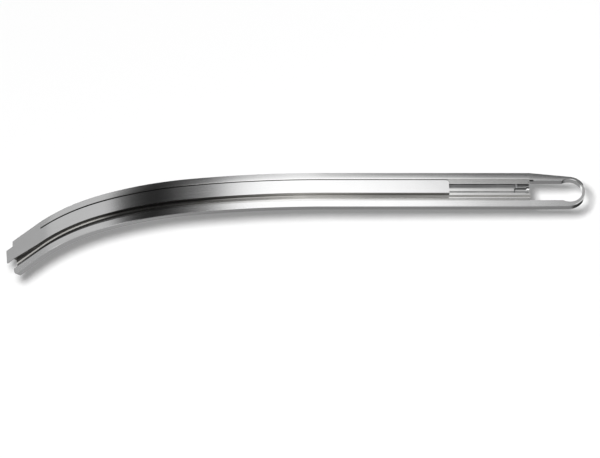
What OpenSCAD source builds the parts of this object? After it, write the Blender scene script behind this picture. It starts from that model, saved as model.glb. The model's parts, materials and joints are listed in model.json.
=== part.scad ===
// Curved steel camera spine of a video laryngoscope, with its inlaid cover strip,
// its camera head, its cables and its sprung catch.
// "Station" is the distance along the top face from the nose of the loop towards the tip.
// "Across" is the distance from the far edge of the strip. Depths go down from the top face.

/* [Strip] */
// Width of the strip across both rims
strip_w = 14; // [13.5:0.1:18]
// Width of the far rim's top face
far_rim_w = 2.6; // [2.2:0.1:3.2]
// Width of the near rim's top face
near_rim_w = 2.5; // [2:0.1:3]
// Thickness of the rims and of the loop
rim_t = 2.2; // [2.1:0.1:2.8]
// Depth of both ledges below the top face
ledge_d = 1.6; // [1.4:0.05:1.7]
// Width of the far ledge, which carries the cover strip
far_ledge_w = 0.95; // [0.8:0.05:1.2]
// Thickness of the channel's side walls
channel_wall = 0.65; // [0.5:0.05:0.9]
// Thickness of the channel's floor
channel_floor = 0.6; // [0.5:0.05:0.9]
// Depth of the channel's underside below the top face
belly_d = 5.6; // [5.5:0.1:6.5]

/* [Bend] */
// Length of the straight part, from the nose of the loop
straight_len = 90.4; // [70:0.2:120]
// Length of the first, gentle bend along the top face
gentle_len = 47.8; // [30:0.2:70]
// Radius of the first bend
gentle_r = 300; // [250:5:400]
// Length of the second bend
middle_len = 31.8; // [20:0.2:45]
// Radius of the second bend
middle_r = 99; // [80:1:140]
// Length of the third, tight bend
tight_len = 27.4; // [15:0.2:40]
// Radius of the third bend
tight_r = 60; // [50:1:90]
// Length of the straight end of the tip
tip_len = 13; // [12.8:0.1:20]

/* [Loop] */
// Station where the window starts and the channel ends
window_start = 19.2; // [18:0.1:26]
// Width of the window's straight part
window_w = 8.2; // [7:0.1:8.6]
// Radius of the window's round end
window_r = 4.7; // [4.4:0.1:5]
// Width of the ring of metal around the round end
ring_w = 1; // [0.8:0.1:1.5]
// Shift of the window towards the near edge
window_shift = 0.3; // [0:0.05:0.4]
// Length of the loop that keeps the strip's full width
loop_shoulder = 0.2; // [0.1:0.1:4]

/* [Cover strip] */
// Station of the cover strip's square end
cover_start = 47.5; // [45:0.5:60]
// Width of the cover strip
cover_w = 5.15; // [5:0.05:5.4]
// Width of the slot between the far rim and the cover strip
slot_w = 0.5; // [0.3:0.05:0.6]
// Thickness of the cover's sheet
sheet_t = 0.45; // [0.3:0.05:0.6]
// Thickness of the cover's two folded legs
leg_t = 0.4; // [0.3:0.05:0.5]
// Least length of the wide head at the tip, which hides the far rim
head_len = 15; // [13.2:0.1:18]
// Length of the tongue beyond the end of the channel
tongue_len = 3.35; // [2:0.05:4]
// Distance of the tongue from the far edge
tongue_inset = 2.2; // [1.5:0.1:2.6]
// Narrowing of the cover's near edge over the straight end of the tip
cover_taper = 1.05; // [0.6:0.05:1.2]
// Radius of the cover's far corner at its square end
cover_corner_r = 1.1; // [0.5:0.1:1.5]
// Rounding of the near rim's corner at the tip
tip_corner_r = 1.2; // [0.5:0.1:1.5]
// Number of bosses and cover screws
boss_count = 4; // [3:1:6]
// Distance of the first boss from the cover's square end
boss_margin = 6; // [4:0.5:10]
// Distance of the last boss from the end of the channel
boss_tip_margin = 32; // [24:1:45]

/* [Cables] */
// Width of the seal beside the cover
seal_w = 0.35; // [0.25:0.05:0.4]
// Height of the seal
seal_h = 0.4; // [0.3:0.05:0.45]
// Gap between the seal and the channel's near wall
seal_room = 0.75; // [0.3:0.05:1.1]
// Width of the camera's contact strip and ribbon
camera_strip_w = 1.15; // [0.9:0.05:1.3]
// Width of the lamp's contact strip and ribbon
lamp_strip_w = 1; // [0.8:0.05:1.1]
// Gap between the two strips
strip_gap = 0.65; // [0.5:0.05:0.8]
// Thickness of the contact strips
contact_t = 0.3; // [0.2:0.05:0.35]
// Thickness of the ribbons
ribbon_t = 0.2; // [0.15:0.05:0.25]
// Length of the contact strips that the cover hides
contact_hidden = 1.5; // [1:0.5:4]
// Depth of the low side of the cable bed
bed_low_d = 3.4; // [3.2:0.1:4]

/* [Camera head] */
// Length of the camera housing
housing_len = 10.7; // [10.5:0.1:12]
// Distance of the housing's front from the end of the channel
housing_setback = 0.3; // [0.2:0.05:0.6]
// Thickness of the housing above and below the lens barrel
housing_wall = 0.25; // [0.2:0.05:0.4]
// Thickness of the housing between the camera's pocket and the lamp's
housing_web = 0.25; // [0.2:0.05:0.4]
// Distance of the front housing screw from the lamp's pocket
screw_setback = 2.4; // [1.5:0.1:3]
// Distance of the back housing screw from the housing's back
screw_margin = 1.5; // [1:0.1:2]
// Length of the lens barrel
barrel_len = 5.6; // [5.6:0.1:6]
// Wall of the lens barrel
barrel_wall = 0.3; // [0.25:0.05:0.35]
// Across place of the camera's axis, from the channel's far wall
camera_across = 1.75; // [1.6:0.05:1.9]
// Thickness of the camera window
window_t = 0.5; // [0.4:0.05:0.6]
// Length of each lens at its middle
lens_t = 0.9; // [0.7:0.05:1]
// Radius of the curved face of each lens
lens_curve_r = 2.2; // [1.8:0.1:3]
// Gap between the two lenses, which the spacer fills
lens_gap = 1.6; // [1.2:0.1:1.8]
// Depth of the lamp's pocket
lamp_depth = 3; // [2.8:0.1:3.4]
// Diameter of the lamp's pocket
lamp_d = 1.9; // [1.6:0.05:2]
// Side of the square lamp chip
led_w = 1; // [0.8:0.05:1.1]
// Side of the square image sensor
sensor_w = 1.9; // [1.6:0.1:2]
// Thickness of the seal behind the housing
tip_seal_t = 0.5; // [0.4:0.05:0.8]

/* [Catch] */
// Distance of the catch's pivot pin from the window
catch_len = 4.5; // [4.3:0.1:5.3]
// Depth of the pivot pin's axis
catch_pivot_d = 2.8; // [2.75:0.05:3]
// Diameter of the pivot pin
catch_pin_d = 0.8; // [0.7:0.05:0.9]
// Width of the catch
catch_w = 1.4; // [1.2:0.05:1.5]
// Depth of the catch's flat top
catch_top_d = 1.1; // [0.9:0.05:1.2]
// Depth of the top of its hook
hook_top_d = 0.45; // [0.3:0.05:0.6]
// Length of the hook's flat top
hook_len = 0.9; // [0.7:0.05:1.1]
// Height of the catch's arm
catch_arm_h = 0.9; // [0.7:0.05:1]
// Thickness of the leaf spring
leaf_t = 0.15; // [0.1:0.01:0.2]

/* [Screws and fits] */
// Diameter of the cover and housing screws
screw_d = 1; // [0.8:0.05:1]
// Depth of each screw in its boss
screw_grip = 1.8; // [1.4:0.1:2]
// Diameter of the screw heads
screw_head_d = 1.8; // [1.6:0.1:2]
// Height of the screw heads
screw_head_h = 0.4; // [0.3:0.05:0.5]
// Gap between pieces that seat on or in each other
seat_gap = 0.05; // [0.03:0.01:0.08]
// Radial gap around round pieces in their holes
fit_gap = 0.05; // [0.03:0.01:0.08]

/* [Hidden] */

// Fineness of the meshes that OpenSCAD itself draws
$fn = 48;
// Turn of each short flat length that the bends are drawn with, in degrees
bend_facet = 1;
// How far a cut runs past the face that it opens
over = 1;
// Distance of the cover's narrowing from the last bend
taper_inset = 1;
// Length of the cuts past the end of the channel
cut_len = 15;
// Clear side room around the catch
catch_room = 0.2;

// The bends, from the nose to the tip: [length along the top face, radius], radius 0 is straight
BENDS = [
    [straight_len, 0],
    [gentle_len, gentle_r],
    [middle_len, middle_r],
    [tight_len, tight_r],
    [tip_len, 0]
];

// Turn in degrees over a length of a bend
function turn(length, radius) = radius == 0 ? 0 : length / radius * 180 / PI;

// Station at which bend i starts
function bend_start(i) = i == 0 ? 0 : bend_start(i - 1) + BENDS[i - 1][0];

// [x, z, dip] of the top face at a distance past the start of bend i
function walk(distance, i, x, z, dip) =
    let (
        last = i == len(BENDS) - 1,
        step = last ? distance : min(distance, BENDS[i][0]),
        radius = BENDS[i][1],
        next_dip = dip + turn(step, radius),
        next_x = radius == 0 ? x - step * cos(dip) : x - radius * (sin(next_dip) - sin(dip)),
        next_z = radius == 0 ? z - step * sin(dip) : z - radius * (cos(dip) - cos(next_dip))
    )
    last || distance <= BENDS[i][0]
        ? [next_x, next_z, next_dip]
        : walk(distance - BENDS[i][0], i + 1, next_x, next_z, next_dip);

function place(station) = walk(station, 0, 0, 0, 0);

// [x, z] of a point at a station and a depth
function point(station, depth) =
    let (here = place(station))
    [here[0] + depth * sin(here[2]), here[1] - depth * cos(here[2])];

// Stations at which bend i changes direction, with its start but not its end
function corners(i) =
    let (steps = max(1, ceil(turn(BENDS[i][0], BENDS[i][1]) / bend_facet)))
    [for (k = [0 : steps - 1]) bend_start(i) + BENDS[i][0] * k / steps];

function stations(from, to) = concat(
    [from],
    [for (i = [0 : len(BENDS) - 1]) for (s = corners(i)) if (s > from && s < to) s],
    [to]
);

// Y of a place across the strip
function y_at(across) = strip_w / 2 - across;

strip_len = bend_start(len(BENDS));

// Across places of the channel
channel_far = far_rim_w + far_ledge_w;
near_rim_across = strip_w - near_rim_w;
floor_d = belly_d - channel_floor;

// Across places of the cover and of what lies under it
cover_far = far_rim_w + slot_w;
cover_near = cover_far + cover_w;
seal_far = cover_near + 2 * seat_gap;
channel_near = seal_far + seal_w + seal_room;
channel_w = channel_near - channel_far;
lamp_strip_far = seal_far - seat_gap - lamp_strip_w;
camera_strip_far = lamp_strip_far - strip_gap - camera_strip_w;
lamp_strip_y = y_at(lamp_strip_far + lamp_strip_w / 2);
camera_strip_y = y_at(camera_strip_far + camera_strip_w / 2);
bed_step = camera_strip_far - 3 * seat_gap;
bed_top_d = ledge_d + contact_t;
boss_far = channel_far + seat_gap;
boss_d = camera_strip_far - 2 * seat_gap - boss_far;
boss_across = boss_far + boss_d / 2;

// Stations of the cover's bosses
boss_first = cover_start + boss_margin;
boss_last = strip_len - boss_tip_margin;
function boss_station(i) = boss_first + (boss_last - boss_first) * i / (boss_count - 1);

// The head starts at a corner of the tight bend, at least its least length from the end
tight_bend = 3;
head_start = max([for (s = corners(tight_bend)) if (s <= strip_len - head_len) s]);

// Loop
nose_r = window_r + ring_w;
nose_inset = 0.01;
window_y = -window_shift;
taper_start = window_start - loop_shoulder;

// Thicknesses of the small flat pieces of the camera head
filter_t = 0.3;
sensor_t = 0.4;
board_t = 0.4;
led_t = 0.5;
// Distance of the front lens from the front of its barrel
lens_inset = 0.5;
// How much wider the sensor's board is than the sensor
board_margin = 0.5;

// Camera head, in the frame of the channel's open end with +X back towards the nose
housing_front = housing_setback;
housing_back = housing_front + housing_len;
housing_top_d = bed_top_d + seat_gap;
housing_bottom_d = floor_d - seat_gap;
camera_y = y_at(channel_far + camera_across);
camera_d = (housing_top_d + housing_bottom_d) / 2;
bore_r = (housing_bottom_d - housing_top_d) / 2 - housing_wall;
barrel_d = 2 * (bore_r - fit_gap);
barrel_front = housing_front + window_t + seat_gap;
barrel_back = barrel_front + barrel_len;
lens_r = barrel_d / 2 - barrel_wall - fit_gap;
front_lens_front = barrel_front + lens_inset;
spacer_front = front_lens_front + lens_t + seat_gap;
rear_lens_front = spacer_front + lens_gap + seat_gap;
filter_front = rear_lens_front + lens_t + 2 * seat_gap;
sensor_pocket_front = barrel_back + seat_gap;
sensor_front = sensor_pocket_front + 2 * seat_gap;
board_front = sensor_front + sensor_t + seat_gap;
board_w = sensor_w + board_margin;
board_back = board_front + board_t;
pocket_half = board_w / 2 + 2 * seat_gap;
lamp_y = camera_y - max(bore_r, pocket_half) - housing_web - lamp_d / 2;
lamp_back = housing_front + lamp_depth;
lamp_board_front = lamp_back - seat_gap - board_t;
led_front = lamp_board_front - seat_gap - led_t;
housing_screw_y = lamp_y;
housing_screw_x = [lamp_back + screw_setback, housing_back - screw_margin];

// Catch, in the straight part's frame, where x is minus the station
catch_pivot_station = window_start + catch_len;
catch_far = camera_strip_far + seat_gap;
catch_y = y_at(catch_far + catch_w / 2);
catch_tip_gap = 0.3;
catch_tip_x = -window_start - catch_tip_gap;
hook_ramp = 0.3;
hook_drop = 0.2;
catch_heel = 0.8;
heel_wall = 0.3;
catch_back_x = -catch_pivot_station - catch_heel;
catch_bottom_d = catch_pivot_d + catch_pin_d / 2 + fit_gap + heel_wall;
catch_arm_end_x = -catch_pivot_station + catch_heel;
pocket_back_x = catch_back_x - catch_room - seat_gap;
leaf_w = catch_w - catch_room;
leaf_foot_d = floor_d - seat_gap;
leaf_top_d = catch_top_d + catch_arm_h + seat_gap;
leaf_bend_x = catch_back_x + seat_gap;
leaf_tip_x = catch_tip_x - hook_len;

// The part stands on the nose of its loop and on the underside of the channel's tip end
tip_place = place(strip_len);
tongue_place = place(strip_len + tongue_len);
foot_x = tip_place[0] + belly_d * sin(tip_place[2]);
foot_z = tip_place[1] - belly_d * cos(tip_place[2]);
pitch = atan2(-rim_t - foot_z, -foot_x);
function stood_x(x, z) = x * cos(pitch) + z * sin(pitch);
function stood_z(x, z) = z * cos(pitch) - x * sin(pitch);
middle_x = (stood_x(0, 0) + stood_x(tongue_place[0], tongue_place[1])) / 2;
base_z = stood_z(0, -rim_t);

module stand() {
    translate([-middle_x, 0, -base_z])
        rotate([0, pitch, 0])
            children();
}

// Moves on by a distance along one bend
module along(distance, radius) {
    if (radius == 0)
        translate([-distance, 0, 0])
            children();
    else
        translate([0, 0, -radius])
            rotate([0, -turn(distance, radius), 0])
                translate([0, 0, radius])
                    children();
}

// The frame of the top face at a station, with +X back towards the nose
module at_station(station, i = 0) {
    if (i == len(BENDS) - 1 || station <= BENDS[i][0])
        along(station, BENDS[i][1])
            children();
    else
        along(BENDS[i][0], BENDS[i][1])
            at_station(station - BENDS[i][0], i + 1)
                children();
}

module at_tip() {
    stand() at_station(strip_len) children();
}

// A bar that follows the bends between two across places, two depths and two stations
module bar(far, near, top, bottom, from, to) {
    there = stations(from, to);
    back = [for (i = [len(there) - 1 : -1 : 0]) there[i]];
    side_plate(
        concat([for (s = there) point(s, top)], [for (s = back) point(s, bottom)]),
        near - far, y_at((far + near) / 2)
    );
}

// Extrudes a side outline of [x, z] points to a width about a middle y
module side_plate(outline, width, y) {
    translate([0, y + width / 2, 0])
        rotate([90, 0, 0])
            linear_extrude(width)
                polygon(outline);
}

// Cuts off what runs past a distance from the end of the channel
module cut_end(distance) {
    at_station(strip_len)
        block(
            distance - cut_len, distance, -strip_w, strip_w,
            -over, belly_d + over
        );
}

// A round bar along X
module rod_x(diameter, from, to, y, depth) {
    translate([from, y, -depth])
        rotate([0, 90, 0])
            cylinder(d = diameter, h = to - from);
}

// A block between two x, two y and two depths
module block(x0, x1, y0, y1, top, bottom) {
    translate([x0, y0, -bottom])
        cube([x1 - x0, y1 - y0, bottom - top]);
}

// A screw from below, with its shank up into the part and its head under the channel
module screw_from_below(y) {
    translate([0, y, -belly_d - seat_gap - screw_head_h])
        cylinder(d = screw_head_d, h = screw_head_h);
    translate([0, y, -belly_d - 2 * seat_gap])
        cylinder(d = screw_d, h = channel_floor + screw_grip + 2 * seat_gap);
}

module screw_hole(y, depth_to) {
    translate([0, y, -belly_d - over])
        cylinder(d = screw_d + 2 * fit_gap, h = belly_d + over - depth_to);
}

module at_bosses() {
    for (i = [0 : boss_count - 1])
        at_station(boss_station(i))
            children();
}

// ---- Spine ----

// Where a line from a corner of the strip meets the nose, just inside its circle, so that the
// line and the circle cross. Side 1 is far, -1 near
function nose_touch(side) =
    let (
        dx = nose_r - taper_start,
        dy = side * strip_w / 2 - window_y,
        inner_r = nose_r - nose_inset,
        angle = atan2(dy, dx) - side * acos(inner_r / norm([dx, dy]))
    )
    [inner_r * cos(angle) - nose_r, window_y + inner_r * sin(angle)];

module loop_outline() {
    translate([-nose_r, window_y])
        circle(r = nose_r, $fn = 96);
    polygon([
        [-window_start, strip_w / 2], [-taper_start, strip_w / 2], nose_touch(1),
        [-nose_r, window_y],
        nose_touch(-1), [-taper_start, -strip_w / 2], [-window_start, -strip_w / 2]
    ]);
}

module window_outline() {
    translate([-nose_r, window_y])
        circle(r = window_r, $fn = 96);
    translate([-window_start, window_y - window_w / 2])
        square([window_start - nose_r, window_w]);
}

module loop_plate() {
    translate([0, 0, -rim_t])
        linear_extrude(rim_t)
            difference() {
                loop_outline();
                window_outline();
            }
}

module pin_hole(diameter) {
    translate([-catch_pivot_station, strip_w / 2, -catch_pivot_d])
        rotate([90, 0, 0])
            cylinder(d = diameter, h = strip_w);
}

// Bore for the pivot pin through the channel's two walls, clear of the rims above it
module wall_bores() {
    intersection() {
        pin_hole(catch_pin_d + 2 * fit_gap);
        block(
            -catch_pivot_station - over, -catch_pivot_station + over,
            y_at(channel_near + channel_wall + over / 2), y_at(channel_far - channel_wall - over / 2),
            0, belly_d
        );
    }
}

// Rounds the near rim's corner where the channel ends
module tip_corner_cut() {
    at_station(strip_len)
        translate([0, -strip_w / 2, -rim_t - over])
            linear_extrude(rim_t + 2 * over)
                difference() {
                    translate([-over, -over])
                        square(tip_corner_r + over);
                    translate([tip_corner_r, tip_corner_r])
                        circle(r = tip_corner_r);
                }
}

module channel_bar(far, near, top, bottom) {
    bar(far, near, top, bottom, window_start, strip_len + over);
}

module spine_channel() {
    color("silver") stand() difference() {
        union() {
            loop_plate();
            channel_bar(0, far_rim_w, 0, rim_t);
            channel_bar(near_rim_across, strip_w, 0, rim_t);
            channel_bar(far_rim_w, channel_far, ledge_d, rim_t);
            channel_bar(channel_near, near_rim_across, ledge_d, rim_t);
            channel_bar(channel_far - channel_wall, channel_far, rim_t, belly_d);
            channel_bar(channel_near, channel_near + channel_wall, rim_t, belly_d);
            channel_bar(channel_far, channel_near, floor_d, belly_d);
        }
        cut_end(0);
        // Room for the cover's wide head on the far rim
        bar(-over, cover_far, -over, sheet_t + seat_gap, head_start - seat_gap, strip_len + over);
        tip_corner_cut();
        wall_bores();
        at_bosses() screw_hole(y_at(boss_across), floor_d - over);
        at_station(strip_len)
            for (x = housing_screw_x)
                translate([x, 0, 0]) screw_hole(housing_screw_y, floor_d - over);
    }
}

// ---- Cover strip ----

// Narrows the cover's near edge over the straight end of the tip and along the tongue
module cover_taper_cut() {
    tongue_near = cover_near - cover_taper;
    taper_len = tip_len - taper_inset;
    // Where the slope starts, outside the cover
    start_x = taper_len + over;
    start_y = y_at(cover_near + cover_taper * over / taper_len);
    at_station(strip_len)
        translate([0, 0, -ledge_d - over])
            linear_extrude(ledge_d + 2 * over)
                polygon([
                    [start_x, start_y], [0, y_at(tongue_near)],
                    [-cut_len, y_at(tongue_near)], [-cut_len, y_at(strip_w)],
                    [start_x, y_at(strip_w)]
                ]);
}

// Rounds the far corner of the cover's square end
module cover_corner_cut() {
    translate([-cover_start, y_at(cover_far), -ledge_d - over])
        linear_extrude(ledge_d + 2 * over)
            difference() {
                translate([-cover_corner_r, -cover_corner_r])
                    square(cover_corner_r + over);
                translate([-cover_corner_r, -cover_corner_r])
                    circle(r = cover_corner_r);
            }
}

module cover_boss() {
    translate([0, y_at(boss_across), seat_gap - floor_d])
        cylinder(d = boss_d, h = floor_d - sheet_t / 2 - seat_gap);
}

module cover_leg(far) {
    bar(far, far + leg_t, sheet_t, ledge_d - seat_gap, cover_start, strip_len - tip_len);
}

module cover_strip() {
    color("gainsboro") stand() difference() {
        union() {
            bar(cover_far, cover_near, 0, sheet_t, cover_start, strip_len);
            cover_leg(cover_far);
            cover_leg(cover_near - leg_t);
            bar(0, cover_far, 0, sheet_t, head_start, strip_len);
            bar(tongue_inset, cover_near, 0, sheet_t, strip_len, strip_len + tongue_len);
            at_bosses() cover_boss();
        }
        cover_corner_cut();
        cover_taper_cut();
        at_bosses() screw_hole(y_at(boss_across), floor_d - screw_grip - 2 * seat_gap);
    }
}

module cover_screws() {
    color("dimgray") stand() at_bosses() screw_from_below(y_at(boss_across));
}

module cover_seal() {
    color("wheat") stand()
        bar(
            seal_far, seal_far + seal_w, bed_top_d - seal_h, bed_top_d,
            window_start + seat_gap, strip_len - seat_gap
        );
}

// ---- Cables ----

// One side of the bed, down to the channel's floor
module bed_bar(far, near, top) {
    bar(far, near, top, floor_d - seat_gap, window_start + seat_gap, strip_len);
}

module cable_bed() {
    color("#202124") stand() difference() {
        union() {
            bed_bar(channel_far + seat_gap, bed_step, bed_low_d);
            bed_bar(bed_step, channel_near - seat_gap, bed_top_d);
        }
        cut_end(housing_back + tip_seal_t + 2 * seat_gap);
        at_bosses()
            translate([0, y_at(boss_across), -belly_d])
                cylinder(d = boss_d + 4 * seat_gap, h = belly_d);
        block(
            pocket_back_x, -window_start + over,
            catch_y - catch_w / 2 - catch_room, y_at(bed_step) + seat_gap,
            0, belly_d
        );
        pin_hole(catch_pin_d + 2 * fit_gap);
    }
}

module flat_strip(far, width, thickness, from, to) {
    bar(far, far + width, bed_top_d - thickness, bed_top_d, from, to);
}

contact_end = cover_start + contact_hidden;

module camera_contact_strip() {
    color("goldenrod") stand()
        flat_strip(camera_strip_far, camera_strip_w, contact_t, -pocket_back_x, contact_end);
}

module lamp_contact_strip() {
    color("goldenrod") stand()
        flat_strip(lamp_strip_far, lamp_strip_w, contact_t, window_start + seat_gap, contact_end);
}

// The end of a ribbon that turns down behind a board, from the middle of the ribbon's thickness
module ribbon_tail(x, y, width, depth) {
    half = width / 2 - seat_gap;
    block(x, x + ribbon_t, y - half, y + half, bed_top_d - ribbon_t / 2, depth);
}

module camera_ribbon() {
    tail_x = board_back + seat_gap;
    color("peru") stand() {
        flat_strip(
            camera_strip_far, camera_strip_w, ribbon_t, contact_end + seat_gap,
            strip_len - tail_x - ribbon_t / 2
        );
        at_station(strip_len)
            ribbon_tail(tail_x, camera_strip_y, camera_strip_w, camera_d);
    }
}

module lamp_ribbon() {
    tail_x = lamp_back + seat_gap;
    color("peru") stand() {
        flat_strip(
            lamp_strip_far, lamp_strip_w, ribbon_t, contact_end + seat_gap,
            strip_len - tail_x - ribbon_t / 2
        );
        at_station(strip_len)
            ribbon_tail(tail_x, lamp_strip_y, lamp_strip_w, camera_d);
    }
}

// ---- Camera head ----

module camera_housing() {
    housing_far = y_at(channel_far + seat_gap);
    housing_near = y_at(channel_near - seat_gap);
    slot_half = lamp_strip_w / 2 + seat_gap;
    color("lightsteelblue") at_tip() difference() {
        block(housing_front, housing_back, housing_near, housing_far, housing_top_d, housing_bottom_d);
        rod_x(2 * bore_r, housing_front - over, sensor_pocket_front + over, camera_y, camera_d);
        block(
            sensor_pocket_front, housing_back + over, camera_y - pocket_half, camera_y + pocket_half,
            0, camera_d + pocket_half
        );
        rod_x(lamp_d, housing_front - over, lamp_back, lamp_y, camera_d);
        // Slot for the lamp ribbon's tail
        block(
            lamp_back - seat_gap, lamp_back + ribbon_t + 2 * seat_gap,
            lamp_strip_y - slot_half, lamp_strip_y + slot_half, 0, camera_d + seat_gap
        );
        for (x = housing_screw_x)
            translate([x, 0, 0])
                screw_hole(housing_screw_y, floor_d - screw_grip - 2 * seat_gap);
    }
}

module housing_screws() {
    color("dimgray") at_tip()
        for (x = housing_screw_x)
            translate([x, 0, 0]) screw_from_below(housing_screw_y);
}

module tip_seal() {
    back = housing_back + seat_gap;
    color("darkslategray") at_tip()
        block(
            back, back + tip_seal_t, y_at(channel_near - seat_gap), y_at(channel_far + seat_gap),
            housing_top_d, housing_bottom_d
        );
}

module camera_window() {
    color("lightcyan") at_tip()
        rod_x(barrel_d, housing_front, housing_front + window_t, camera_y, camera_d);
}

module lens_barrel() {
    color("#303236") at_tip() difference() {
        rod_x(barrel_d, barrel_front, barrel_back, camera_y, camera_d);
        rod_x(barrel_d - 2 * barrel_wall, barrel_front - over, barrel_back + over, camera_y, camera_d);
    }
}

// A lens that is flat at the back and curved at the front
module lens(front) {
    intersection() {
        rod_x(2 * lens_r, front, front + lens_t, camera_y, camera_d);
        translate([front + lens_curve_r, camera_y, -camera_d])
            sphere(r = lens_curve_r, $fn = 96);
    }
}

module front_lens() {
    color("lightcyan") at_tip() lens(front_lens_front);
}

module rear_lens() {
    color("lightcyan") at_tip() lens(rear_lens_front);
}

module lens_spacer() {
    color("#303236") at_tip() difference() {
        rod_x(2 * lens_r, spacer_front, spacer_front + lens_gap, camera_y, camera_d);
        rod_x(lens_r, spacer_front - over, spacer_front + lens_gap + over, camera_y, camera_d);
    }
}

module infrared_filter() {
    color("powderblue") at_tip()
        rod_x(2 * lens_r, filter_front, filter_front + filter_t, camera_y, camera_d);
}

module square_chip(x, thickness, side, y) {
    block(x, x + thickness, y - side / 2, y + side / 2, camera_d - side / 2, camera_d + side / 2);
}

module image_sensor() {
    color("#2b2f45") at_tip() square_chip(sensor_front, sensor_t, sensor_w, camera_y);
}

module sensor_board() {
    color("darkgreen") at_tip() square_chip(board_front, board_t, board_w, camera_y);
}

module lamp_window() {
    color("lightcyan") at_tip()
        rod_x(lamp_d - 2 * fit_gap, housing_front, housing_front + window_t, lamp_y, camera_d);
}

module lamp_led() {
    color("khaki") at_tip() square_chip(led_front, led_t, led_w, lamp_y);
}

module lamp_board() {
    color("darkgreen") at_tip()
        rod_x(lamp_d - 2 * fit_gap, lamp_board_front, lamp_board_front + board_t, lamp_y, camera_d);
}

// ---- Catch ----

module catch_lever() {
    arm_bottom = -catch_top_d - catch_arm_h;
    color("darkgray") stand() difference() {
        side_plate(
            [
                [catch_back_x, -catch_top_d],
                [catch_tip_x - hook_len - hook_ramp, -catch_top_d],
                [catch_tip_x - hook_len, -hook_top_d],
                [catch_tip_x, -hook_top_d - hook_drop],
                [catch_tip_x, arm_bottom],
                [catch_arm_end_x, arm_bottom],
                [catch_arm_end_x, -catch_bottom_d],
                [catch_back_x, -catch_bottom_d]
            ],
            catch_w, catch_y
        );
        pin_hole(catch_pin_d + 2 * fit_gap);
    }
}

module catch_pin() {
    color("gray") stand()
        translate([-catch_pivot_station, y_at(channel_near + channel_wall), -catch_pivot_d])
            rotate([-90, 0, 0])
                cylinder(d = catch_pin_d, h = channel_w + 2 * channel_wall);
}

// A leaf folded back over its own foot, which pushes the catch's arm up
module catch_spring() {
    color("slategray") stand()
        side_plate(
            [
                [leaf_tip_x, -leaf_foot_d],
                [leaf_bend_x, -leaf_foot_d],
                [leaf_bend_x, leaf_t * 2 - leaf_foot_d],
                [leaf_tip_x, -leaf_top_d],
                [leaf_tip_x, -leaf_top_d - leaf_t],
                [leaf_bend_x + 2 * leaf_t, leaf_t - leaf_foot_d],
                [leaf_tip_x, leaf_t - leaf_foot_d]
            ],
            leaf_w, catch_y
        );
}

spine_channel();
cover_strip();
cover_screws();
cover_seal();
cable_bed();
camera_ribbon();
lamp_ribbon();
camera_contact_strip();
lamp_contact_strip();
camera_housing();
housing_screws();
tip_seal();
camera_window();
lens_barrel();
front_lens();
lens_spacer();
rear_lens();
infrared_filter();
image_sensor();
sensor_board();
lamp_window();
lamp_led();
lamp_board();
catch_lever();
catch_pin();
catch_spring();
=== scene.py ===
import json
import math

import bmesh
import bpy
from mathutils import Matrix, Vector


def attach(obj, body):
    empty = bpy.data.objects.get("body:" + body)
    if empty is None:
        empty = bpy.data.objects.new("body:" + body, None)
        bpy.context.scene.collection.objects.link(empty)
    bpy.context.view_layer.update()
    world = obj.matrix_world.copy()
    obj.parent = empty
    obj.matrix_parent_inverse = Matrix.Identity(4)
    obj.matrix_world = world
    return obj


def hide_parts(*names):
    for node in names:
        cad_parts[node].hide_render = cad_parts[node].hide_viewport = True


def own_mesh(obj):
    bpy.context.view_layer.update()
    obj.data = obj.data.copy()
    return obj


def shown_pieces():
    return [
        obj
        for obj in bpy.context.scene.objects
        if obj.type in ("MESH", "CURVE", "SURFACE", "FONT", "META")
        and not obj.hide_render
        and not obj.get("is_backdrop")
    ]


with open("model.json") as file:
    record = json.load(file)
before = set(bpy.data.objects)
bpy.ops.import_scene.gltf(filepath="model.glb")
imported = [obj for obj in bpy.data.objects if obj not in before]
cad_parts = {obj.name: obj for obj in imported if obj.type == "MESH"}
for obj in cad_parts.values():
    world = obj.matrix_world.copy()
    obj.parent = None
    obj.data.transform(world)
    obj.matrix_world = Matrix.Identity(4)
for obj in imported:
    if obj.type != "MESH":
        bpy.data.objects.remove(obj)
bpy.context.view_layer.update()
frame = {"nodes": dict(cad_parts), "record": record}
NODES = frame["nodes"]
MM = 0.001

# ---------------------------------------------------------------- the strip's path
# Length and radius of each stretch, from the loop to the tip, in mm, as in the source
BENDS = [(90.4, 0), (47.8, 300), (31.8, 99), (27.4, 60), (13, 0)]
END = sum(length for length, _ in BENDS)
WIDTH = 14
RIM_T = 2.2
BELLY_D = 5.6
TONGUE = 3.35
# The visual's top stays this far below the source's top, so that it keeps inside its box
SKIN = 0.02


def place(station):
    """x, z and dip of the top face at a station, in the straight part's frame, in mm."""
    x = z = dip = 0.0
    for i, (length, radius) in enumerate(BENDS):
        step = station if i == len(BENDS) - 1 else min(station, length)
        if radius:
            turned = dip + step / radius
            x -= radius * (math.sin(turned) - math.sin(dip))
            z -= radius * (math.cos(dip) - math.cos(turned))
            dip = turned
        else:
            x -= step * math.cos(dip)
            z -= step * math.sin(dip)
        station -= step
        if station <= 1e-9:
            break
    return x, z, dip


tip_x, tip_z, tip_dip = place(END)
foot_x = tip_x + BELLY_D * math.sin(tip_dip)
foot_z = tip_z - BELLY_D * math.cos(tip_dip)
PITCH = math.atan2(-RIM_T - foot_z, -foot_x)
COS, SIN = math.cos(PITCH), math.sin(PITCH)
tongue_x, tongue_z, _ = place(END + TONGUE)
MIDDLE_X = (tongue_x * COS + tongue_z * SIN) / 2
BASE_Z = -RIM_T * COS


def stood(x, y, z):
    """A point of the straight part's frame, in mm, in the row frame, in metres."""
    return Vector((x * COS + z * SIN - MIDDLE_X, y, z * COS - x * SIN - BASE_Z)) * MM


def on_strip(station, across, depth):
    """A point at a station, across from the far edge and below the top face, in mm, in metres."""
    x, z, dip = place(station)
    depth += SKIN
    return stood(x + depth * math.sin(dip), WIDTH / 2 - across, z - depth * math.cos(dip))


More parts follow.
